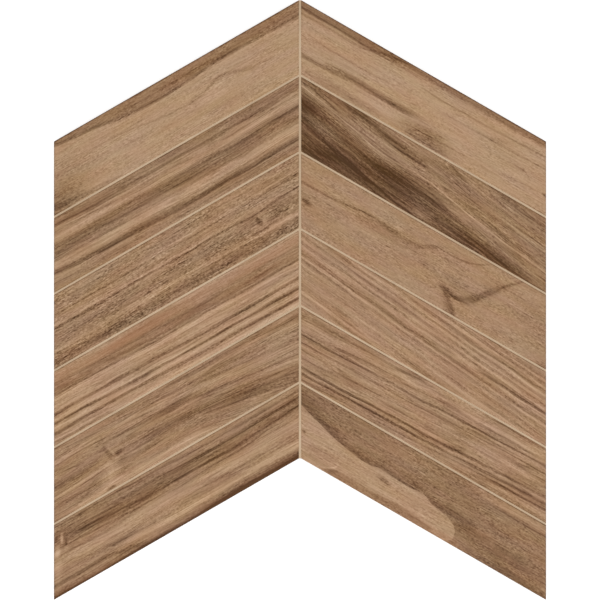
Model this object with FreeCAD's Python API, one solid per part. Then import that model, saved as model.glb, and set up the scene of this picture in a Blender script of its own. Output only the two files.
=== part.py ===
# A chevron mosaic sheet: two columns of mitred wood-look porcelain strips that meet in a
# point, with grouted joints, on a glass-fibre mesh. It lies face up, with its back on z = 0.
# +Y points to the tip of the chevron, and the sheet is symmetric about x = 0. Millimetres.
import FreeCAD, Part

import math
import os

# Driving dimensions
SHEET_WIDTH = 305.0  # across both columns, edge to edge
ROWS = 6  # strips in each column
SLOPE_DEG = 30.0  # fall of the strips from the middle joint to the side edges
STRIP_WIDTH = 40.0  # face width, square to the strip's length
STRIP_THICKNESS = 9.0
ARRIS = 0.6  # ground bevel round the face of each strip
MITRE_JOINT = 1.5  # upright joint between the two columns
BED_JOINT = 1.2  # sloping joints between the strips of a column
GROUT_DROP = 0.7  # grout surface below the strips' faces
GROOVE_WIDTH = 6.0  # keying grooves in a strip's back, at their mouth
GROOVE_LAND = 3.0  # ridge between two grooves
GROOVE_DEPTH = 0.6  # the flanks slope at 45 degrees
MESH_THICKNESS = 0.5
MESH_MARGIN = 4.0  # the mesh stops short of the sheet's outline

# Derived sizes and places
SLOPE = math.radians(SLOPE_DEG)
HALF_SHEET = SHEET_WIDTH / 2
MITRE_X = MITRE_JOINT / 2  # mitred ends of the right column
STRIP_LENGTH = (HALF_SHEET - MITRE_X) / math.cos(SLOPE)
STRIP_HEIGHT = STRIP_WIDTH / math.cos(SLOPE)  # measured upright, along a mitred end
BED_HEIGHT = BED_JOINT / math.cos(SLOPE)
ROW_PITCH = STRIP_HEIGHT + BED_HEIGHT
SIDE_HEIGHT = ROWS * STRIP_HEIGHT + (ROWS - 1) * BED_HEIGHT
TIP_Y = (SIDE_HEIGHT + STRIP_LENGTH * math.sin(SLOPE)) / 2  # upper mitred corner of the top strips
NOTCH_Y = TIP_Y - SIDE_HEIGHT  # lower mitred corner of the bottom strips
BACK_Z = MESH_THICKNESS
FACE_Z = BACK_Z + STRIP_THICKNESS
GROUT_Z = FACE_Z - GROUT_DROP

ALONG = FreeCAD.Vector(math.cos(SLOPE), -math.sin(SLOPE), 0)  # down a strip of the right column
ACROSS = FreeCAD.Vector(-math.sin(SLOPE), -math.cos(SLOPE), 0)  # from its upper to its lower edge
UP = FreeCAD.Vector(0, 0, 1)
MIDDLE = FreeCAD.Vector(0, 0, 0)
SIDEWAYS = FreeCAD.Vector(1, 0, 0)


def prism(outline, travel):
    """The solid that a closed outline of points sweeps along a straight travel."""
    wire = Part.makePolygon(outline + outline[:1])
    return Part.Face(wire).extrude(travel)


def upright_prism(plan, low, high):
    """A prism on a plan of (x, y) points, between two heights."""
    outline = [FreeCAD.Vector(x, y, low) for x, y in plan]
    return prism(outline, UP * (high - low))


def mirrored(shape):
    """The same piece in the left column."""
    return shape.mirror(MIDDLE, SIDEWAYS)


def fall(x):
    """How far a strip's edges have dropped from its mitred end, at a distance x from the middle."""
    return (x - MITRE_X) * math.tan(SLOPE)


def sloping_band(top, height, low, high):
    """A band of the right column, from the mitred ends down to the side edge."""
    bottom = top - height
    plan = [
        (MITRE_X, top),
        (HALF_SHEET, top - fall(HALF_SHEET)),
        (HALF_SHEET, bottom - fall(HALF_SHEET)),
        (MITRE_X, bottom),
    ]
    return upright_prism(plan, low, high)


def strip_section():
    """Cross-section of a strip as (distance from its upper edge, height), with the keyed back."""
    pitch = GROOVE_WIDTH + GROOVE_LAND
    grooves = int((STRIP_WIDTH - GROOVE_LAND) / pitch)
    first = (STRIP_WIDTH - grooves * pitch + GROOVE_LAND) / 2
    floor = BACK_Z + GROOVE_DEPTH
    section = [(0, FACE_Z), (0, BACK_Z)]
    for number in range(grooves):
        start = first + number * pitch
        end = start + GROOVE_WIDTH
        section += [(start, BACK_Z), (start + GROOVE_DEPTH, floor)]
        section += [(end - GROOVE_DEPTH, floor), (end, BACK_Z)]
    return section + [(STRIP_WIDTH, BACK_Z), (STRIP_WIDTH, FACE_Z)]


def strip(row):
    """A strip of the right column: a ribbed bar, mitred at both ends, then bevelled round its face."""
    top = TIP_Y - row * ROW_PITCH
    waste = STRIP_HEIGHT  # length that the mitre cuts take off each end of the bar
    start = FreeCAD.Vector(MITRE_X, top, 0) - ALONG * waste
    outline = [start + ACROSS * across + UP * height for across, height in strip_section()]
    bar = prism(outline, ALONG * (STRIP_LENGTH + 2 * waste))
    mitred = bar.common(sloping_band(top, STRIP_HEIGHT, BACK_Z, FACE_Z))
    on_face = FACE_Z - ARRIS / 2  # only the edges round the face lie wholly above this
    face_edges = [edge for edge in mitred.Edges if edge.BoundBox.ZMin > on_face]
    return mitred.makeChamfer(ARRIS, face_edges)


def joint_grout():
    """One cast web: the upright mitre joint, with a sloping joint to each side between the rows."""
    upright = [(-MITRE_X, TIP_Y), (MITRE_X, TIP_Y), (MITRE_X, NOTCH_Y), (-MITRE_X, NOTCH_Y)]
    web = upright_prism(upright, BACK_Z, GROUT_Z)
    for row in range(1, ROWS):
        top = TIP_Y - row * ROW_PITCH + BED_HEIGHT
        branch = sloping_band(top, BED_HEIGHT, BACK_Z, GROUT_Z)
        web = web.fuse([branch, mirrored(branch)])
    return web.removeSplitter()


def mesh_backing():
    """The mesh as a plain sheet, cut to the chevron's outline less a margin."""
    edge = HALF_SHEET - MESH_MARGIN
    inset = MESH_MARGIN / math.cos(SLOPE)
    right_edge = [(edge, TIP_Y - fall(edge) - inset), (edge, NOTCH_Y - fall(edge) + inset)]
    left_edge = [(-x, y) for x, y in reversed(right_edge)]
    tip = (0, TIP_Y - fall(0) - inset)
    notch = (0, NOTCH_Y - fall(0) + inset)
    return upright_prism([tip, *right_edge, notch, *left_edge], 0, MESH_THICKNESS)


def main():
    pieces = {"joint_grout": joint_grout(), "mesh_backing": mesh_backing()}
    for row in range(ROWS):
        right = strip(row)
        pieces[f"strip_right_{row + 1}"] = right
        pieces[f"strip_left_{row + 1}"] = mirrored(right)
    os.makedirs("parts", exist_ok=True)
    for name, shape in pieces.items():
        shape.exportStep(f"parts/{name}.step")
        print(f"{name}: valid {shape.isValid()}, solids {len(shape.Solids)}, {shape.Volume:.0f} mm3")


main()
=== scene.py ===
# The looks of a chevron mosaic sheet: walnut grain printed on porcelain strips, cement grout in
# the joints and a woven glass-fibre net behind, on a pale floor and seen square from above.
import math
from collections import namedtuple

import bmesh
import bpy
from mathutils import Matrix, Vector


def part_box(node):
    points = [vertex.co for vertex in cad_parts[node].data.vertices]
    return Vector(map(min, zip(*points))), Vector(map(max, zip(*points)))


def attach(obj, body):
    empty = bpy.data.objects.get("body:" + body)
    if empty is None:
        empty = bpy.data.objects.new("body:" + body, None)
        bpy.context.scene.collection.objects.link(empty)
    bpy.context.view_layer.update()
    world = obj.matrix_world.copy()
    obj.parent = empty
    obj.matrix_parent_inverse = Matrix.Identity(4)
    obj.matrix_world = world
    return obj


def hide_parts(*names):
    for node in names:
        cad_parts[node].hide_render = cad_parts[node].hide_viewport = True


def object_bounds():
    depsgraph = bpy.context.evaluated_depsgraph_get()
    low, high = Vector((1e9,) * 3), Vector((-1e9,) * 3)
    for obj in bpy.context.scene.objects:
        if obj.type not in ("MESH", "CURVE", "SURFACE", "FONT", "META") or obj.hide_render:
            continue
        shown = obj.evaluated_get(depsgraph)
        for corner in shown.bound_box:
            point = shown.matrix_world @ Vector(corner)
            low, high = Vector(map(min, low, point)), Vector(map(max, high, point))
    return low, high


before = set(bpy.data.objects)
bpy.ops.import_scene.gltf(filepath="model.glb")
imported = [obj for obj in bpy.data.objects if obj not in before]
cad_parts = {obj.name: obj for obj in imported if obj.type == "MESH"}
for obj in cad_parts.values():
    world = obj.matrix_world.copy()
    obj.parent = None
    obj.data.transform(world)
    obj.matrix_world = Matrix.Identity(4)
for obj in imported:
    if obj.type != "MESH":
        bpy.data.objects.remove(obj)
cad_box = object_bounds()

MM = 0.001
PER_CENT = 0.01
SLOPE = math.radians(30)  # fall of the strips from the middle joint to the side edges

# The strips, in mm.
FACE = cad_box[1].z / MM  # height of the printed faces
ARRIS = 0.6  # bevel round a face
STRIP_LENGTH = 175  # along the grain
STRIP_WIDTH = 40  # across the grain
OUTER_SHADE_STRETCH = (STRIP_LENGTH - 20, STRIP_LENGTH - 5)  # stretch over which the arrises turn to painted shade
PRINT_END = 0.1  # depth below an arris over which the print runs out
BODY_GRIT = 0.625  # sandy grain of the fired body
SANDINESS = 8  # relief of that grain, in the tones that the relief of the face follows

# The grout, in mm.
GROUT_SAND = 0.4
GROUT_CLOUD = 25

# The backing net, in metres. The threads of a strand are too fine to show and are drawn coarser.
NET_PITCH = 5 * MM
STRAND_WIDTH = 0.9 * MM
STRAND_THICKNESS = 0.24 * MM
SEAM = 0.001 * MM  # within this the halves of the net are one
THREAD_WIDTH = 0.25 * MM

# How a surface was left: its roughness, IOR and sheen, and the strength and depth of its relief.
Finish = namedtuple("Finish", "roughness ior sheen relief depth")
FIRED_MATT = Finish(0.6, 1.5, 0.15, 0.35, 0.06 * MM)
WIPED_FLUSH = Finish(0.85, 1.45, 0.5, 0.5, 0.05 * MM)
WOVEN = Finish(0.45, 1.55, 0.5, 0.4, 0.05 * MM)

# The studio, in metres and watts, with the camera in mm.
FLOOR_REACH = 3  # half a side of the square floor
FLOOR_GLOW = 0.6  # white that the floor adds where it is seen as the background
ROOM_LIGHT = 0.6  # strength of the white world as a light
LAMPS = {"key": ((-0.35, -0.7, 1.6), 10), "fill": ((0.7, 0.1, 1.7), 6)}
LAMP_SIZE = 1.0
FOCAL_LENGTH = 120
SENSOR_WIDTH = 36

# Each strip's walnut figure is drawn in millimetres: u from the mitred end along the grain
# and v from the upper edge across it. A tone is lightness on screen, in per cent of white.
# tone: the ground. course: how far the grain has sunk, as (u, mm), and with fan only toward the
# lower edge. stains: marks of reddish ink, in per cent. fibre, lines and speckle: strength of the
# long grain, of the growth lines, and of the flecks and pores. blush: lean of the inks to red, in
# degrees of hue.
Figure = namedtuple(
    "Figure",
    "tone marks course fan stains fibre lines speckle blush",
    defaults=((), False, (), 1.0, 1.0, 1.0, 0.0),
)
# A soft line through a few points, with its reach above and below them.
Streak = namedtuple("Streak", "tone reach path")
# A soft oval.
Patch = namedtuple("Patch", "tone centre reach")
# All the wood below a line of points, or above it where the width of its soft edge is negative.
Area = namedtuple("Area", "tone soft path")

FADE = 14  # a streak that ends inside a strip fades out over these mm, or a third of its length
CORE = 0.25  # share of a streak's reach that has its full tone
FINE = (0.8, 0.8)  # reach of a thin grain line
WAVY_EDGE = [(0, 8.5), (40, 8), (58, 7.5), (80, 9.5), (100, 10), (120, 9), (145, 5.5), (175, 2.5)]
LOBE_EDGE = [
    (0, 11),
    (12, 15),
    (36, 21),
    (48, 22),
    (58, 20.5),
    (74, 21.5),
    (87, 20.5),
    (93, 23.5),
    (106, 26.5),
]
LOBE_NOSE = [(109, 29), (110, 32)]
LOBE_UNDERCUT = [(97, 41), (104, 38.5), (108.5, 35.5), (110, 32)]
PAST_LOBE = [(110.5, 50)]


def slanting(v):
    """The course of a grain line that sinks toward the outer end."""
    return [(0, v), (60, v + 6), (120, v + 11.5), (175, v + 16)]


FIGURES = {
    # A brown band ends in a wavy dark line, over plain tan with a faint arch.
    "left_1": Figure(
        58.5,
        [
            Area(-11, -1.1, WAVY_EDGE),
            Area(-20, -1.2, [(0, 1.2), (175, 1.2)]),
            Streak(-13, (1.6, 1), WAVY_EDGE),
            Patch(-9, (52, 6.5), (18, 2)),
            Streak(-6, FINE, [(0, 5), (50, 4.5), (100, 5.5), (135, 4)]),
            Streak(-7, (2, 1.5), [(28, 24), (44, 19.5), (56, 17), (68, 20.5), (84, 22)]),
            Streak(-5, FINE, [(76, 21.5), (95, 21), (115, 18.5), (140, 15)]),
            Streak(-6, FINE, [(16, 23), (36, 21)]),
            Streak(-5, FINE, [(34, 15.5), (54, 14)]),
            Patch(4, (60, 24), (20, 6)),
            Patch(-4, (50, 32), (24, 4)),
            Streak(-9, (3, 2), [(122, 41), (150, 38.5), (175, 36)]),
            Patch(-15, (178, 37), (36, 14)),
            Patch(-7, (172, 24), (40, 16)),
        ],
        stains=[Area(14, -3, WAVY_EDGE)],
        fibre=0.35,
        lines=0.3,
        speckle=1.15,
        blush=-0.6,
    ),
    # Straight streaks from end to end.
    "left_2": Figure(
        51,
        [
            Area(-3, -2, [(0, 4.5), (175, 4.5)]),
            Streak(-10, (1.4, 1), [(0, 4.5), (52, 6.5), (100, 5.5), (175, 4.5)]),
            Streak(5, FINE, [(0, 8), (60, 8.5), (175, 7)]),
            Streak(8, (3, 2), [(0, 12), (90, 12.5), (175, 11.5)]),
            Streak(-9, (2, 2.5), [(0, 16), (50, 17), (110, 16.5), (175, 15.5)]),
            Streak(-7, FINE, [(0, 15.5), (40, 16.5), (56, 17.5)]),
            Streak(-6, (3, 3), [(0, 20), (175, 20)]),
            Streak(9, (3, 3.5), [(0, 27), (90, 27.5), (175, 26)]),
            Streak(-13, (2.5, 1.5), [(0, 33), (70, 33.5), (130, 32.5), (175, 30.5)]),
            Streak(-6, FINE, [(0, 37.5), (100, 38)]),
            Streak(-6, FINE, [(70, 20), (110, 20.5), (150, 19)]),
            Streak(-6, FINE, [(16, 23), (60, 23.5), (112, 23.5)]),
            Streak(-7, FINE, [(0, 33.5), (50, 34), (100, 34), (150, 32.5)]),
        ],
        [(0, 0), (70, 1), (175, -1)],
        fibre=0.85,
        lines=0.8,
        speckle=0.85,
    ),
    # Rough short fibres, with a small tilted knot near the mitred end.
    "left_3": Figure(
        53.5,
        [
            Area(-4, 3, [(0, 19.5), (175, 20)]),
            Streak(-12, (0.8, 1.2), [(0, 17.5), (20, 18.5), (30, 19.5), (60, 18), (175, 18.5)]),
            Streak(6, (1, 1), [(20, 16), (60, 16.5), (175, 17)]),
            Streak(8, (2, 2), [(0, 31.5), (30, 31), (175, 30.5)]),
            Streak(-5, (3, 3), [(0, 37), (175, 36)]),
            Patch(-10, (135, 37), (25, 3)),
            Patch(-8, (46, 36.5), (14, 3)),
            Patch(-7, (84, 22.5), (16, 4)),
            Streak(-8, FINE, [(0, 10.5), (30, 11), (92, 11.5)]),
            Streak(5, FINE, [(0, 8.5), (50, 9), (110, 9)]),
            Streak(-6, FINE, [(20, 4.5), (70, 4), (120, 5)]),
            Streak(-8, FINE, [(106, 11.5), (150, 11), (175, 11.5)]),
            Streak(-9, FINE, [(128, 2.5), (150, 4.5), (175, 4)]),
            Streak(-7, (1.4, 1.4), [(6, 26), (24, 26.5)]),
            Patch(12, (26, 25), (7, 6)),
            Patch(7, (33, 28), (6, 4)),
            Streak(-18, (2.5, 2.5), [(25, 27), (28, 24.5), (31, 22)]),
            Patch(-8, (28, 25), (4, 3)),
            Streak(-12, (1.2, 1.5), [(19, 28), (24, 30), (29, 30), (37, 26.5)]),
        ],
        fibre=0.8,
        lines=0.5,
        speckle=1.75,
    ),
    # A reddish band over pale wood with a few thin dark lines that rise to the outer end.
    "left_4": Figure(
        57.5,
        [
            Streak(-11, (7, 4.5), [(0, 11.5), (80, 11.5), (175, 9.5)]),
            Streak(-13, (1.2, 0.6), [(0, 15.5), (80, 15.5), (130, 14.5), (175, 13)]),
            Streak(6, (0.5, 2), [(0, 17), (80, 17), (175, 15)]),
            Streak(-17, (1.8, 1), [(0, 26), (70, 25.5), (100, 24.5), (175, 23.5)]),
            Streak(-17, (1, 1.2), [(0, 31), (50, 30.5), (100, 29.5), (175, 28)]),
            Streak(-15, (1.5, 1.3), [(0, 36), (80, 35.5), (110, 34), (175, 33.5)]),
            Streak(5, (1, 1.5), [(0, 28.5), (80, 28), (175, 26)]),
            Streak(5, (1, 1.5), [(0, 33.5), (80, 32.5), (175, 30.5)]),
            Streak(-9, FINE, [(130, 39), (175, 38.5)]),
            Area(6, -2, [(0, 1.8), (175, 1.2)]),
            Streak(7, (1.2, 2), [(0, 39.5), (70, 39), (125, 39.5)]),
        ],
        [(0, 0), (80, -1), (175, -3)],
        stains=[
            Streak(28, (4, 5), [(0, 4.5), (80, 4.5), (175, 4)]),
            Patch(48, (120, 4.5), (52, 4.5)),
            Patch(24, (30, 6), (34, 4)),
            Streak(14, (4, 3), [(0, 11.5), (80, 11.5), (175, 9.5)]),
        ],
        lines=0.6,
        blush=0.5,
    ),
    # Grain that fans up to a dark lens, and a small knot over a pale patch toward the outer end.
    "left_5": Figure(
        51.5,
        [
            Streak(-7, (1.5, 1.5), [(0, 4.5), (50, 2), (100, 2)]),
            Streak(5, (1, 1.5), [(0, 8.5), (45, 5), (90, 4)]),
            Streak(-7, (1, 1), [(0, 12), (45, 8.5), (90, 6.5), (130, 6)]),
            Streak(-5, FINE, [(0, 17), (45, 12), (80, 9)]),
            Streak(6, (2, 2), [(0, 20), (45, 15), (75, 11), (120, 8), (175, 8)]),
            Streak(-6, (1.5, 2), [(58, 18), (76, 15), (92, 13.5), (135, 12.5)]),
            Patch(-9, (92, 14), (20, 2.5)),
            Streak(-6, FINE, [(0, 25), (40, 20.5), (80, 16), (120, 15)]),
            Streak(5, FINE, [(0, 27.5), (40, 22.5), (75, 18), (110, 16.5)]),
            Streak(-5, FINE, [(0, 30.5), (40, 25), (75, 20), (105, 18)]),
            Streak(-6, FINE, [(0, 39), (25, 35), (60, 29)]),
            Streak(-9, (4, 4), [(0, 36.5), (40, 29.5), (75, 24), (115, 23)]),
            Patch(-6, (44, 30), (40, 8)),
            Patch(-9, (80, 23.5), (7, 2)),
            Area(7, 2.5, [(50, 42), (60, 37.5), (75, 34), (110, 34), (150, 35.5), (175, 39)]),
            Patch(6, (80, 36.5), (24, 4)),
            Streak(-6, FINE, [(92, 29), (120, 28)]),
            Patch(-19, (129, 22.5), (6, 2.2)),
            Streak(-8, (3.5, 3), [(131, 26), (135, 21.5), (141, 13.5)]),
            Patch(-5, (142, 11), (4, 2.5)),
            Streak(6, (1.8, 1.6), [(129, 26), (133, 21), (137, 16)]),
            Patch(-7, (126, 27), (7, 3)),
            Patch(11, (134, 30), (10, 9)),
            Streak(7, (0.8, 2), [(132, 25), (145, 25.5), (175, 27)]),
            Streak(-7, (2.5, 2.5), [(138, 19.5), (155, 21), (175, 21)]),
            Streak(-8, (2, 2), [(140, 31), (160, 32), (175, 33)]),
            Patch(-22, (134, 39), (4.5, 1.6)),
            Streak(8, FINE, [(124, 36), (132, 36.5), (143, 38.5)]),
        ],
        [(0, 0), (40, -8), (80, -14), (175, -13)],
        fan=True,
        fibre=0.85,
        blush=0.2,
    ),
    # Two dark wavy streaks, tan below them, a nearly black lower edge and a pale knot at the outer end.
    "left_6": Figure(
        51.5,
        [
            Streak(-7, (6, 5.5), [(0, 10), (90, 11), (175, 9.5)]),
            Streak(-11, FINE, [(0, 3), (60, 3.5), (110, 2), (175, 1.5)]),
            Streak(-10, (1.4, 1.4), [(0, 6.5), (24, 7.5), (80, 8), (110, 7.5), (140, 6), (175, 5)]),
            Streak(-16, (1, 1.2), [(0, 11.5), (24, 13), (60, 13.5), (100, 13.5)]),
            Streak(-4, (0.9, 1), [(86, 13.5), (130, 12), (150, 10.5), (172, 8)]),
            Streak(-6, FINE, [(110, 15), (140, 13), (166, 11)]),
            Streak(-4, (1.8, 1.8), [(88, 14), (130, 12.5), (166, 9.5)]),
            Patch(-7, (114, 13.5), (18, 2)),
            Streak(-6, (1.6, 1.6), [(90, 4.5), (140, 3.5), (175, 2.5)]),
            Patch(-9, (62, 13.5), (14, 1.2)),
            Patch(-9, (84, 13), (9, 1.2)),
            Streak(-7, FINE, [(48, 7), (75, 7.5), (105, 6)]),
            Streak(-11, (1, 1), [(18, 14.5), (40, 16.5), (68, 16.5)]),
            Streak(-8, FINE, [(92, 17), (130, 15.5), (175, 13.5)]),
            Streak(-8, FINE, [(104, 10), (130, 9), (168, 6.5)]),
            Streak(6, (3, 6), [(0, 20.5), (90, 21), (175, 22)]),
            Streak(9, (3, 2), [(0, 32), (100, 32.5), (130, 31)]),
            Patch(-11, (127, 28.5), (20, 2.5)),
            Streak(-13, (1.6, 1.6), [(106, 37.5), (124, 35.5), (138, 33.5), (175, 33)]),
            Area(-18, 4.5, [(0, 33.5), (50, 34), (80, 35), (100, 36), (125, 35.5), (175, 34.5)]),
            Area(-25, 2, [(0, 37), (40, 36.5), (75, 37.5), (105, 37.5), (130, 38), (175, 37.5)]),
            Patch(22, (169.5, 9.5), (1.8, 4.5)),
            Patch(16, (172.5, 15), (3.5, 5)),
            Patch(6, (172, 26), (4, 14)),
            Patch(-14, (166.5, 12), (1.6, 4)),
            Patch(-12, (173.5, 7.5), (2, 3)),
        ],
        stains=[Area(12, 4, [(0, 36), (50, 34.5), (100, 37), (130, 35), (175, 35)])],
        fibre=0.65,
        lines=0.8,
        speckle=0.85,
        blush=0.15,
    ),
    # A dark upper edge and one tapering streak on plain tan.
    "right_1": Figure(
        59,
        [
            Area(-15, -2.5, [(0, 6.5), (45, 6.5), (80, 5), (175, 5)]),
            Area(-18, -1.2, [(0, 1.2), (175, 1.2)]),
            Streak(-12, (1, 1), [(0, 4), (46, 4.5), (63, 2.5), (84, 0.5)]),
            Streak(-9, (1.2, 1.2), [(0, 7), (40, 7), (55, 5), (90, 5)]),
            Streak(-7, (1, 1), [(84, 9.5), (120, 10.5), (152, 9.5), (175, 8.5)]),
            Streak(-6, (1, 1), [(96, 17), (140, 16), (175, 16)]),
            Streak(-5, FINE, [(8, 17.5), (40, 18), (70, 17)]),
            Streak(-14, (2.2, 1.6), [(0, 29.5), (20, 29), (46, 28), (82, 28.5)]),
            Streak(-11, (2.5, 2), [(14, 26.5), (50, 26.5), (90, 27)]),
            Patch(4, (50, 33.5), (32, 2.5)),
            Patch(-13, (90, 36), (30, 10)),
            Patch(-8, (28, 37), (45, 4.5)),
            Streak(-7, FINE, [(64, 38.5), (110, 38.5)]),
            Streak(-7, FINE, [(72, 34.5), (120, 33)]),
            Streak(-6, FINE, [(80, 31), (114, 30)]),
            Streak(-7, FINE, [(150, 22.5), (160, 23), (165, 28)]),
            Patch(-22, (174, 29.5), (3, 1.5)),
            Streak(-6, FINE, [(140, 31), (174, 29.5)]),
        ],
        stains=[Area(12, -4, [(0, 6), (175, 6)])],
        fibre=0.35,
        lines=0.4,
        blush=-0.3,
    ),
    # The darkest strip: a pale slanting line divides brown wood from a nearly black corner.
    "right_2": Figure(
        49,
        [
            Streak(-8, (3, 3), [(0, 1), (40, 2), (56, 4.5), (72, 8), (95, 10.5)]),
            Patch(-9, (44, 2.5), (24, 3.5)),
            Patch(-12, (64, 6), (16, 3.5)),
            Patch(-6, (77, 8.5), (16, 3)),
            Area(-10, 6, [(0, 7), (48, 16.5), (92, 20), (130, 30), (175, 36)]),
            Patch(-18, (0, 14), (24, 9)),
            Streak(-8, (9, 9), [(0, 33), (40, 38), (90, 43)]),
            Patch(-10, (4, 40), (26, 7)),
            Patch(-13, (76, 25.5), (44, 13)),
            Patch(-3, (68, 25), (24, 9)),
            Patch(-6, (24, 17), (34, 9)),
            Patch(9, (85, 37), (12, 5)),
            Patch(-11, (125, 38), (52, 10)),
            Patch(-9, (40, 29), (46, 10)),
            Streak(6, (2.2, 2), [(14, 20), (45, 27), (66, 32)]),
            Streak(7, (1.2, 1.4), [(4, 30), (19, 33)]),
            Streak(-10, (3, 2.5), [(0, 23), (18, 27.5), (36, 32), (56, 37)]),
            Streak(-7, FINE, [(28, 36.5), (76, 34.5)]),
            Streak(11, FINE, [(0, 4.5), (32, 10.5), (55, 15.5), (92, 17), (126, 23.5), (175, 29.5)]),
            Patch(12, (104.5, 2), (2.2, 1.3)),
            Patch(15, (107.5, 8.5), (1.8, 1.3)),
            Patch(-8, (107, 10.5), (3, 1.2)),
        ],
        [(0, 0), (60, 9), (100, 12), (175, 21)],
        fibre=1.1,
        blush=-0.4,
    ),
    # Plain tan crossed by a dark branching mark.
    "right_3": Figure(
        54.5,
        [
            Streak(-9, (1, 1.2), [(0, 14.5), (27, 14), (42, 12.5), (58, 11)]),
            Patch(-7, (47, 12), (8, 1.5)),
            Patch(-6, (61, 12.5), (12, 2.5)),
            Streak(-8, (1.3, 2), [(52, 11.5), (66, 13.5), (80, 13.5), (90, 11), (102, 7)]),
            Streak(-10, FINE, [(84, 12), (96, 8.5), (113, 8), (126, 5), (138, -1)]),
            Patch(-5, (62, 16), (34, 6)),
            Streak(-4, FINE, [(12, 19), (36, 20)]),
            Streak(-12, (1.2, 1.2), [(136, 16), (145, 9), (153, 4), (163, -3)]),
            Streak(-10, (3, 2.5), [(102, 29), (113, 29), (121, 26), (132, 18.5), (146, 8)]),
            Streak(-5, (5, 4.5), [(112, 29), (121, 26), (132, 18.5), (147, 7.5)]),
            Streak(-13, (1.8, 1.8), [(96, 27.5), (103, 27.5), (109, 29.5), (118, 28)]),
            Patch(-6, (106, 28.5), (8, 3)),
            Streak(-7, (6, 2.5), [(100, 27), (104, 32), (107, 37), (114, 47)]),
            Patch(-10, (103.5, 32), (6, 5.5)),
            Patch(-11, (106, 37.5), (6.5, 6)),
            Patch(-4, (112, 22), (18, 7)),
            Streak(-4, FINE, [(104, 14.5), (138, 15)]),
            Patch(-5, (90, 21), (10, 3)),
            Patch(-22, (4, 24.5), (5.5, 2.8)),
            Patch(-12, (174, 39.5), (12, 2.5)),
            Patch(-3, (170, 20), (30, 22)),
        ],
        fibre=0.4,
        lines=0.3,
        speckle=1.1,
        blush=0.3,
    ),
    # Fine slanting lines that sink toward the outer end.
    "right_4": Figure(
        55.5,
        [
            Streak(-10, (2, 2), [(0, 11.5), (30, 14.5), (65, 18), (125, 24), (175, 28)]),
            Streak(-19, (1.2, 1.2), [(122, 20), (150, 21.5), (175, 23)]),
            Streak(-8, FINE, [(100, 7), (140, 9), (175, 10)]),
        ]
        + [Streak(-6, (1.3, 1.3), slanting(v)) for v in (-12.5, -9, -5, -1, 2.5, 6, 15.5)]
        + [Streak(-4, (1.3, 1.3), slanting(v)) for v in (19.5, 23, 29.5, 35)]
        + [Streak(4, (1.2, 1.2), slanting(v)) for v in (-7, -3, 0.5, 4.5, 8, 13.5, 25.5, 33)],
        slanting(0),
        fibre=0.75,
        lines=0.5,
        blush=0.8,
    ),
    # Fine lines that rise toward the outer end, in pairs near the lower edge.
    "right_5": Figure(
        53.5,
        [
            Streak(-6, (1.2, 1.2), [(0, 4), (60, 3), (100, 2.5)]),
            Streak(5, (2, 2), [(0, 7), (175, 5)]),
            Streak(-15, (1, 1), [(0, 14.5), (70, 13), (125, 11), (175, 9.5)]),
            Streak(-9, FINE, [(0, 19), (60, 18), (125, 15), (175, 13.5)]),
            Streak(-11, (1.2, 1.2), [(0, 32), (50, 31), (137, 28), (175, 26)]),
            Streak(-7, (1, 1), [(0, 32), (50, 31), (110, 29)]),
            Streak(-11, (1.3, 1.3), [(0, 35.5), (40, 34.5), (175, 30)]),
            Streak(-9, (1, 1), [(0, 35.5), (40, 34.5), (90, 33)]),
            Streak(-9, FINE, [(0, 39), (45, 38), (125, 34.5), (175, 33)]),
            Patch(-9, (150, 39.5), (46, 3)),
        ],
        [(0, 0), (175, -5.5)],
        fibre=1.05,
        blush=0.5,
    ),
    # A pale lobe of sapwood reaches out of the mitred end into grey brown heartwood.
    "right_6": Figure(
        46,
        [
            Streak(-7, (4.5, 0.5), LOBE_EDGE + LOBE_NOSE[:1]),
            Area(11.5, 0.9, LOBE_EDGE + LOBE_NOSE + PAST_LOBE),
            Area(-11.5, 0.9, LOBE_UNDERCUT + PAST_LOBE),
            Streak(-10, (2.5, 7), [(10, 42), (22, 37.5), (75, 36.5), (100, 40)]),
            Patch(-12, (58.5, 26), (6.5, 2.6)),
            Patch(-8, (61, 27), (4, 1.6)),
            Patch(-16, (2, 24), (2.4, 1.6)),
            Patch(-4, (13, 31), (14, 6)),
            Streak(9, FINE, [(13, 39), (22, 35.5), (26, 32.5), (28, 29)]),
            Streak(-5, (0.5, 2.5), [(14, 40), (23, 36.5), (30, 33)]),
            Streak(8, (5, 1), [(120, 4), (150, 4), (175, 4.5)]),
            Streak(-9, FINE, [(128, 6), (160, 6.5), (175, 6.5)]),
            Patch(-10, (5, 7), (18, 6)),
            Patch(-8, (20, 14), (14, 4)),
            Patch(-6, (80, 17), (14, 3)),
            Patch(-9, (106, 22), (14, 5)),
            Patch(-7, (145, 30), (35, 9)),
            Patch(-7, (118, 25), (16, 9)),
            Patch(-10, (150, 39), (45, 4)),
            Patch(4, (166, 15), (20, 7)),
            Patch(4, (70, 7), (40, 6)),
        ],
        stains=[Streak(16, (4, 4), [(10, 41), (40, 37.5), (90, 37.5), (120, 40)])],
        fibre=0.65,
        lines=0.3,
        speckle=1.05,
        blush=0.2,
    ),
}

# Printing inks of the walnut figure by tone, from the darkest streaks to the palest sapwood.
WALNUT_INKS = [
    (18, "492D12"),
    (30, "684930"),
    (42, "89684B"),
    (54, "A68465"),
    (65, "C09E7F"),
    (75, "D2B596"),
]
RED_INK = "9C6B48"
INK_RICHNESS = (0.96, 1.05)  # saturation of the inks where they are dull and where they are rich
INK_SWAY = 1.44  # how far their hue sways to either side, in degrees

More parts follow.
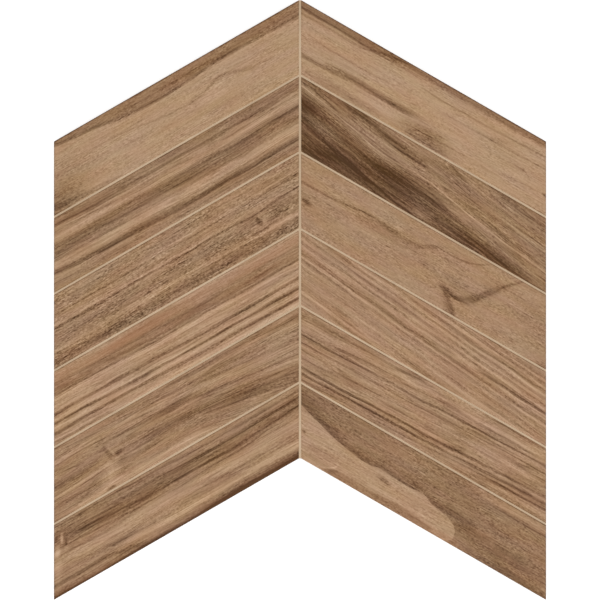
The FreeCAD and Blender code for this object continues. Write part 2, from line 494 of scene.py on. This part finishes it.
# The printed grain as noise, by its length and width in mm.
GRAIN_NOISE = {
    "boldness": (45, 3),
    "richness": (40, 9),
    "warmth": (28, 7),
    "rings": (260, 9),
    "pores": (3.2, 0.6),
    "long_fibres": (70, 4.5),
    "fibres": (45, 1.7),
    "short_fibres": (20, 0.9),
    "flecks": (6, 0.7),
    "grit": (1.6, 0.9),
    "stipple": (20, 8),
}
LAYER_SHIFT = 7  # keeps the noise of two layers apart
STRIP_SHIFT = 17  # keeps the noise of two strips apart
NOISE_MIDDLE = 0.5
NOISE_SPAN = (0.25, 0.75)  # where nearly all values of a noise lie
WARMTH_SPAN = (0.3, 0.7)  # where the inks sway from the one side to the other

WANDER = 1.8  # width of the band in which the grain strays from its course, in mm
WANDER_WAVE = (40, 12)  # length and width of its waves, in mm
BOLDNESS = (0.85, 1.2)  # strength of a streak where it is faint and where it is bold

# Tones that the layers of the grain add.
FIBRE_TONES = {"long_fibres": 11, "fibres": 16, "short_fibres": 16}
FLECK_TONES = {"flecks": 15, "grit": 17}
RING_TONE = -11
RINGS_APPEAR = (0.3, 0.6)  # boldness at which growth lines start and at which they are full
RING_COUNT = 13  # growth lines over the whole range of their noise
RING_WIDTH = 0.22  # half the width of a growth line, as a share of their spacing
PORE_TONE = -7
PORES_APPEAR = (0.58, 0.75)  # noise at which a pore starts and at which it is full

# Strength of flecks and pores on dark and pale wood, and where they lie sparse and dense.
DARK_TO_PALE = (46, 61)
FLECK_SHARES = (1.2, 0.6)
SPARSE_TO_DENSE = (0.35, 0.65)
CLUSTER_SHARES = (0.65, 1.4)

# Painted light and shade on the arrises, as tones: painted shade along the upper edges and at the outer
# end, painted light along the lower edges.
UPPER_ARRIS_SHADE = -2
LOWER_ARRIS_LIGHT = 8
OUTER_ARRIS_SHADE = -9


def linear(code):
    """A linear colour, with full opacity, from an sRGB hex code."""
    parts = [int(code[place : place + 2], 16) / 255 for place in (0, 2, 4)]
    return (*(p / 12.92 if p <= 0.04045 else ((p + 0.055) / 1.055) ** 2.4 for p in parts), 1.0)


def add(tree, kind, *inputs, points=(), stops=(), **settings):
    """Adds a node with its settings and links, and gives its first output.
    The inputs come in the order of the node's sockets, and each is a socket to link, a value to set,
    or None to leave as it is."""
    made = tree.nodes.new("ShaderNode" + kind)
    for name, value in settings.items():
        setattr(made, name, value)
    for socket, value in zip([s for s in made.inputs if s.enabled], inputs):
        if isinstance(value, bpy.types.NodeSocket):
            tree.links.new(value, socket)
        elif value is not None:
            socket.default_value = value
    if points:
        made.mapping.use_clip = False
        made.mapping.extend = "HORIZONTAL"
        drawn = made.mapping.curves[0].points
        drawn[0].location, drawn[1].location = points[0], points[-1]
        for point in points[1:-1]:
            drawn.new(*point)
        for point in drawn:
            point.handle_type = "AUTO_CLAMPED"
        made.mapping.update()
    for number, (place, colour) in enumerate(stops):
        ramp = made.color_ramp.elements
        stop = ramp[number] if number < 2 else ramp.new(place)
        stop.position, stop.color = place, colour
    return next((socket for socket in made.outputs if socket.enabled), made)


def new_material(name):
    """An empty node material and its tree."""
    material = bpy.data.materials.new(name)
    material.use_nodes = True
    material.node_tree.nodes.clear()
    return material, material.node_tree


def draw_mark(tree, mark, along, across):
    """How much of a mark lies at a place, from 0 to 1."""
    if isinstance(mark, Patch):
        place = add(tree, "CombineXYZ", along, across)
        place = add(tree, "VectorMath", place, (*mark.centre, 0), operation="SUBTRACT")
        place = add(tree, "VectorMath", place, (*mark.reach, 1), operation="DIVIDE")
        far = add(tree, "VectorMath", place, operation="LENGTH").node.outputs["Value"]
        return add(tree, "MapRange", far, 0, 1, 1, 0, interpolation_type="SMOOTHSTEP")
    line = add(tree, "FloatCurve", 1, along, points=mark.path)
    offset = add(tree, "Math", across, line, operation="SUBTRACT")
    if isinstance(mark, Area):
        return add(tree, "MapRange", offset, 0, mark.soft, 0, 1, interpolation_type="SMOOTHSTEP")
    above, below = mark.reach
    upper = add(tree, "MapRange", offset, -above, -above * CORE, 0, 1, interpolation_type="SMOOTHSTEP")
    lower = add(tree, "MapRange", offset, below * CORE, below, 1, 0, interpolation_type="SMOOTHSTEP")
    section = add(tree, "Math", upper, lower, operation="MULTIPLY")
    start, end = mark.path[0][0], mark.path[-1][0]
    fade = min(FADE, (end - start) / 3)
    ends = [(start, start <= 0), (start + fade, 1), (end - fade, 1), (end, end >= STRIP_LENGTH)]
    strength = add(tree, "FloatCurve", 1, along, points=ends)
    return add(tree, "Math", section, strength, operation="MULTIPLY")


def level_with_grain(tree, side, corner):
    """The place on a strip in mm, its grain level and its upper mitred corner at the origin."""
    place = add(tree, "TexCoord").node.outputs["Object"]
    origin = Matrix.Rotation(-SLOPE, 2) @ Vector((abs(corner.x), -corner.y)) / MM
    shift = (-origin.x, -origin.y, 0)
    scale = (side / MM, -1 / MM, 1 / MM)
    return add(tree, "Mapping", place, shift, (0, 0, -SLOPE), scale)


def wandering(tree, strip_mm, across, seed):
    """The way across a strip, where the grain wanders a little over some centimetres."""
    long, wide = WANDER_WAVE
    waves = add(tree, "Mapping", strip_mm, (seed, 0, 0), None, (1 / long, 1 / wide, 0))
    waves = add(tree, "TexNoise", waves, 1, 2, 0.5, noise_dimensions="2D")
    waves = add(tree, "Math", waves, NOISE_MIDDLE, operation="SUBTRACT")
    return add(tree, "Math", waves, WANDER, across, operation="MULTIPLY_ADD")


def grain_noise(tree, figure, length, along, across, seed):
    """The noise of the printed grain by layer, which follows the course of the figure."""
    if figure.course:
        sunk = add(tree, "FloatCurve", 1, along, points=figure.course)
        if figure.fan:
            share = add(tree, "Math", across, STRIP_WIDTH, operation="DIVIDE")
            sunk = add(tree, "Math", sunk, share, operation="MULTIPLY")
        across = add(tree, "Math", across, sunk, operation="SUBTRACT")
    grain_mm = add(tree, "CombineXYZ", length, across, 0)
    noise = {}
    for number, (layer, (long, wide)) in enumerate(GRAIN_NOISE.items()):
        shift = (seed, LAYER_SHIFT * number, 0)
        scaled = add(tree, "Mapping", grain_mm, shift, None, (1 / long, 1 / wide, 0))
        noise[layer] = add(tree, "TexNoise", scaled, 1, 1, 0.5, noise_dimensions="2D")
    return noise


def drawn_tone(tree, figure, noise, along, across):
    """The ground tone and the drawn marks, with streaks that are bolder and fainter by turns."""
    boldness = add(tree, "MapRange", noise["boldness"], *NOISE_SPAN, *BOLDNESS)
    tone = figure.tone
    for mark in figure.marks:
        drawn = draw_mark(tree, mark, along, across)
        if isinstance(mark, Streak):
            drawn = add(tree, "Math", drawn, boldness, operation="MULTIPLY")
        tone = add(tree, "Math", drawn, mark.tone, tone, operation="MULTIPLY_ADD")
    return tone


def growth_lines(tree, figure, noise):
    """Thin dark lines that come and go."""
    rings = add(tree, "Math", noise["rings"], RING_COUNT, operation="MULTIPLY")
    rings = add(tree, "Math", rings, 0.5, operation="PINGPONG")
    rings = add(tree, "MapRange", rings, 0, RING_WIDTH, 1, 0, interpolation_type="SMOOTHSTEP")
    fading = add(tree, "MapRange", noise["boldness"], *RINGS_APPEAR, 0, RING_TONE * figure.lines)
    return add(tree, "Math", rings, fading, operation="MULTIPLY")


def lay_over(tree, ground, noise, tones, strength):
    """Layers of noise on a ground, each as far to the dark as to the pale side."""
    for layer, tone in tones.items():
        centred = add(tree, "Math", noise[layer], NOISE_MIDDLE, operation="SUBTRACT")
        ground = add(tree, "Math", centred, tone * strength, ground, operation="MULTIPLY_ADD")
    return ground


def fine_grain(tree, figure, noise, tone):
    """The tones of growth lines, of fibres of several lengths, and of flecks and pores, which come
    in clusters and are fainter on pale wood."""
    fibres = lay_over(tree, growth_lines(tree, figure, noise), noise, FIBRE_TONES, figure.fibre)
    pores = add(tree, "MapRange", noise["pores"], *PORES_APPEAR, 0, PORE_TONE)
    flecks = lay_over(tree, pores, noise, FLECK_TONES, 1)
    on_dark, on_pale = FLECK_SHARES
    shares = (on_dark * figure.speckle, on_pale * figure.speckle)
    rough = add(tree, "MapRange", tone, *DARK_TO_PALE, *shares)
    clusters = add(tree, "MapRange", noise["stipple"], *SPARSE_TO_DENSE, *CLUSTER_SHARES)
    rough = add(tree, "Math", rough, clusters, operation="MULTIPLY")
    return add(tree, "Math", flecks, rough, fibres, operation="MULTIPLY_ADD")


def arris_light_and_shade(tree, along, across, height):
    """What the arrises add, as painted light and shade: a little painted shade along the upper edge,
    painted light along the lower one and more painted shade at the outer end."""
    # Painted shade on the upper arris and painted light on the lower one
    edge = add(tree, "MapRange", across, 0, STRIP_WIDTH, UPPER_ARRIS_SHADE, LOWER_ARRIS_LIGHT)
    # Painted shade on the arrises toward the outer end
    edge = add(tree, "MapRange", along, *OUTER_SHADE_STRETCH, edge, OUTER_ARRIS_SHADE)
    return add(tree, "MapRange", height, FACE - ARRIS, FACE, edge, 0)


def printed_inks(tree, figure, noise, tone, along, across):
    """The inks of a tone, a little richer or warmer by turns, under the figure's reddish stains."""
    stops = [(level * PER_CENT, linear(ink)) for level, ink in WALNUT_INKS]
    share = add(tree, "Math", tone, PER_CENT, operation="MULTIPLY")
    inks = add(tree, "ValToRGB", share, stops=stops)
    richness = add(tree, "MapRange", noise["richness"], *NOISE_SPAN, *INK_RICHNESS)

    # A hue of 0.5 leaves the inks as they are, and a lower one turns them to red
    hues = [0.5 + (sway - figure.blush) / 360 for sway in (INK_SWAY, -INK_SWAY)]
    warmth = add(tree, "MapRange", noise["warmth"], *WARMTH_SPAN, *hues)
    inks = add(tree, "HueSaturation", warmth, richness, 1, 1, inks)
    for stain in figure.stains:
        drawn = draw_mark(tree, stain, along, across)
        drawn = add(tree, "Math", drawn, stain.tone * PER_CENT, operation="MULTIPLY")
        inks = add(tree, "Mix", drawn, inks, linear(RED_INK), data_type="RGBA")
    return inks


def finish_surface(tree, finish, colour, height):
    """Ends a material with its colour, its sheen and a shallow relief."""
    relief = add(tree, "Bump", finish.relief, finish.depth, None, height)
    shader = add(tree, "BsdfPrincipled", colour, None, finish.roughness, finish.ior, None, relief)
    shader.node.inputs["Specular IOR Level"].default_value = finish.sheen
    add(tree, "OutputMaterial", shader)


def wood_look_porcelain(name, side, corner, figure, seed):
    """Matt porcelain stoneware, fired with a printed walnut grain and sawn to size: fine fibres and
    pores run with the grain, a shallow relief follows them, and sides and back show the sandy body."""
    material, tree = new_material(f"wood_look_porcelain_{name}")
    strip_mm = level_with_grain(tree, side, corner)
    length, across, height = add(tree, "SeparateXYZ", strip_mm).node.outputs
    along = add(tree, "Math", across, -math.tan(SLOPE), length, operation="MULTIPLY_ADD")
    across = wandering(tree, strip_mm, across, seed)

    noise = grain_noise(tree, figure, length, along, across, seed)
    tone = drawn_tone(tree, figure, noise, along, across)
    fibres = fine_grain(tree, figure, noise, tone)
    tone = add(tree, "Math", tone, fibres, operation="ADD")
    # Adds painted shade and painted light on the arrises
    tone = add(tree, "Math", tone, arris_light_and_shade(tree, along, across, height), operation="ADD")
    printed = printed_inks(tree, figure, noise, tone, along, across)

    grit = add(tree, "TexNoise", strip_mm, 1 / BODY_GRIT, 3, 0.6)
    body = add(tree, "ValToRGB", grit, stops=[(0.3, linear("8F7A66")), (0.7, linear("AD9882"))])
    on_face = add(tree, "MapRange", height, FACE - ARRIS - PRINT_END, FACE - ARRIS, 0, 1)
    colour = add(tree, "Mix", on_face, body, printed, data_type="RGBA")
    sandy = add(tree, "Math", grit, SANDINESS, operation="MULTIPLY")
    relief = add(tree, "Mix", on_face, sandy, fibres)
    finish_surface(tree, FIRED_MATT, colour, relief)
    return material


def cement_grout():
    """Fine cement grout, wiped flush below the arrises: pale beige, dead matt and slightly cloudy."""
    material, tree = new_material("cement_grout")
    place = add(tree, "TexCoord").node.outputs["Object"]
    place_mm = add(tree, "Mapping", place, None, None, (1 / MM, 1 / MM, 1 / MM))
    sand = add(tree, "TexNoise", place_mm, 1 / GROUT_SAND, 3, 0.6)
    cloud = add(tree, "TexNoise", place_mm, 1 / GROUT_CLOUD, 2, 0.5)
    mixed = add(tree, "Math", sand, 0.5, cloud, operation="MULTIPLY_ADD")
    colour = add(tree, "ValToRGB", mixed, stops=[(0.5, linear("BAA184")), (1.0, linear("CBB396"))])
    finish_surface(tree, WIPED_FLUSH, colour, sand)
    return material


def glass_fibre():
    """Woven glass-fibre rovings with a resin size: off-white, a dull sheen and fine threads."""
    material, tree = new_material("glass_fibre")
    place = add(tree, "TexCoord").node.outputs["Object"]
    threads = add(tree, "Mapping", place, None, None, (1 / THREAD_WIDTH, 1 / THREAD_WIDTH, 0))
    threads = add(tree, "TexNoise", threads, 1, 2, 0.6, noise_dimensions="2D")
    colour = add(tree, "ValToRGB", threads, stops=[(0.3, linear("CFCCC0")), (0.7, linear("EDEBE2"))])
    finish_surface(tree, WOVEN, colour, threads)
    return material


def background_rays(tree):
    """1 on the rays that show the background: those of the camera, of gloss and of clear pieces."""
    rays = add(tree, "LightPath").node.outputs
    seen = add(tree, "Math", rays["Is Camera Ray"], rays["Is Glossy Ray"], operation="MAXIMUM")
    return add(tree, "Math", seen, rays["Is Transmission Ray"], operation="MAXIMUM")


def pale_floor():
    """A pale matt floor that looks white to the camera, with a trace of the shadow of the sheet."""
    material, tree = new_material("pale_floor")
    lift = add(tree, "Math", background_rays(tree), FLOOR_GLOW, operation="MULTIPLY")
    matt = add(tree, "BsdfDiffuse", linear("D4D4D4"))
    glow = add(tree, "Emission", linear("FFFFFF"), lift)
    add(tree, "OutputMaterial", add(tree, "AddShader", matt, glow))
    return material


def dress(node, material):
    """Gives a CAD node its material."""
    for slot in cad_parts[node].material_slots:
        slot.material = material


def dress_strips():
    """Gives each strip its own printed figure."""
    for number, (name, figure) in enumerate(FIGURES.items()):
        low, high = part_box(f"strip_{name}")
        side = 1 if low.x > 0 else -1
        corner = Vector((low.x if side > 0 else high.x, high.y))
        dress(f"strip_{name}", wood_look_porcelain(name, side, corner, figure, STRIP_SHIFT * number))


def new_object(name, data):
    """A new object in the scene."""
    made = bpy.data.objects.new(name, data)
    bpy.context.scene.collection.objects.link(made)
    return made


def new_piece(name, shape, material):
    """A modelled shape as an object with its material."""
    mesh = bpy.data.meshes.new(name)
    shape.to_mesh(mesh)
    shape.free()
    mesh.materials.append(material)
    return new_object(name, mesh)


def add_strand(shape, axis, middle, steps, crest):
    """A flat ribbon along x or y, in steps of half a pitch, that rises or dips at every crossing."""
    size = [STRAND_WIDTH, STRAND_WIDTH, 1, 1]
    size[axis] = steps * NET_PITCH / 2
    place = Matrix.Translation(middle) @ Matrix.Diagonal(size)
    across, down = (steps, 1) if axis == 0 else (1, steps)
    made = bmesh.ops.create_grid(shape, x_segments=across, y_segments=down, size=0.5, matrix=place)
    for vert in made["verts"]:
        vert.co.z = crest * math.cos(math.pi * vert.co[axis] / NET_PITCH)


def cut_to_chevron(shape, low, high):
    """Cuts the right half at the middle, the side, the upper and lower edges and the foot."""
    fall = math.tan(SLOPE)
    notch = low.y + high.x * fall
    cuts = [
        ((0, 0, 0), (-1, 0, 0)),
        ((high.x, 0, 0), (1, 0, 0)),
        ((0, high.y, 0), (fall, 1, 0)),
        ((0, notch, 0), (-fall, -1, 0)),
        ((0, low.y, 0), (0, -1, 0)),
    ]
    for point, outward in cuts:
        everything = shape.verts[:] + shape.edges[:] + shape.faces[:]
        bmesh.ops.bisect_plane(shape, geom=everything, plane_co=point, plane_no=outward, clear_outer=True)


def woven_net():
    """The backing net: flat strands that pass over and under each other, cut to the chevron."""
    low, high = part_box("mesh_backing")
    wave = (high.z - low.z) / 4  # rise and dip of a strand, half the thickness in all
    columns = range(math.floor(high.x / NET_PITCH) + 1)
    rows = range(math.ceil(low.y / NET_PITCH), math.floor(high.y / NET_PITCH) + 1)
    steps_x = math.ceil(high.x / NET_PITCH) * 2
    steps_y = math.ceil((high.y - low.y) / NET_PITCH) * 2
    middle_x = steps_x * NET_PITCH / 4
    middle_y = rows[0] * NET_PITCH + steps_y * NET_PITCH / 4

    # The right half is woven and cut, then mirrored and thickened
    shape = bmesh.new()
    for row in rows:
        add_strand(shape, 0, (middle_x, row * NET_PITCH, 0), steps_x, wave * (-1) ** row)
    for column in columns:
        add_strand(shape, 1, (column * NET_PITCH, middle_y, 0), steps_y, -wave * (-1) ** column)
    cut_to_chevron(shape, low, high)
    everything = shape.verts[:] + shape.edges[:] + shape.faces[:]
    bmesh.ops.mirror(shape, geom=everything, axis="X", merge_dist=SEAM)
    shape.normal_update()
    bmesh.ops.reverse_faces(shape, faces=[face for face in shape.faces if face.normal.z < 0])
    bmesh.ops.solidify(shape, geom=shape.faces[:], thickness=STRAND_THICKNESS)
    bmesh.ops.recalc_face_normals(shape, faces=shape.faces[:])
    heights = [vert.co.z for vert in shape.verts]
    middle = (min(heights) + max(heights)) / 2
    bmesh.ops.translate(shape, verts=shape.verts[:], vec=(0, 0, (low.z + high.z) / 2 - middle))

    net = new_piece("woven_net", shape, glass_fibre())
    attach(net, "root")
    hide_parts("mesh_backing")


def lay_floor():
    """The floor that the sheet lies on."""
    shape = bmesh.new()
    bmesh.ops.create_grid(shape, x_segments=1, y_segments=1, size=FLOOR_REACH)
    floor = new_piece("floor", shape, pale_floor())


def light_studio():
    """A white world that is dimmer as a light than as the background, and two broad lamps."""
    world = bpy.data.worlds.new("studio")
    bpy.context.scene.world = world
    world.use_nodes = True
    tree = world.node_tree
    tree.nodes.clear()
    strength = add(tree, "MapRange", background_rays(tree), 0, 1, ROOM_LIGHT, 1)
    add(tree, "OutputWorld", add(tree, "Background", linear("FFFFFF"), strength))
    for name, (place, watts) in LAMPS.items():
        lamp = bpy.data.lights.new(name, "AREA")
        lamp.shape = "DISK"
        lamp.size = LAMP_SIZE
        lamp.energy = watts
        stand = new_object(name, lamp)
        stand.location = place
        stand.rotation_euler = (-Vector(place)).to_track_quat("-Z", "Y").to_euler()


def hang_camera():
    """The camera that looks straight down on the sheet, which fills the height of its picture."""
    lens = bpy.data.cameras.new("camera")
    lens.lens = FOCAL_LENGTH
    lens.sensor_width = SENSOR_WIDTH
    camera = new_object("camera", lens)
    sheet = cad_box[1] - cad_box[0]
    camera.location = (0, 0, cad_box[1].z + sheet.y * FOCAL_LENGTH / SENSOR_WIDTH)
    bpy.context.scene.camera = camera
    bpy.context.scene.view_settings.view_transform = "Standard"


dress_strips()
dress("joint_grout", cement_grout())
woven_net()
lay_floor()
light_studio()
hang_camera()
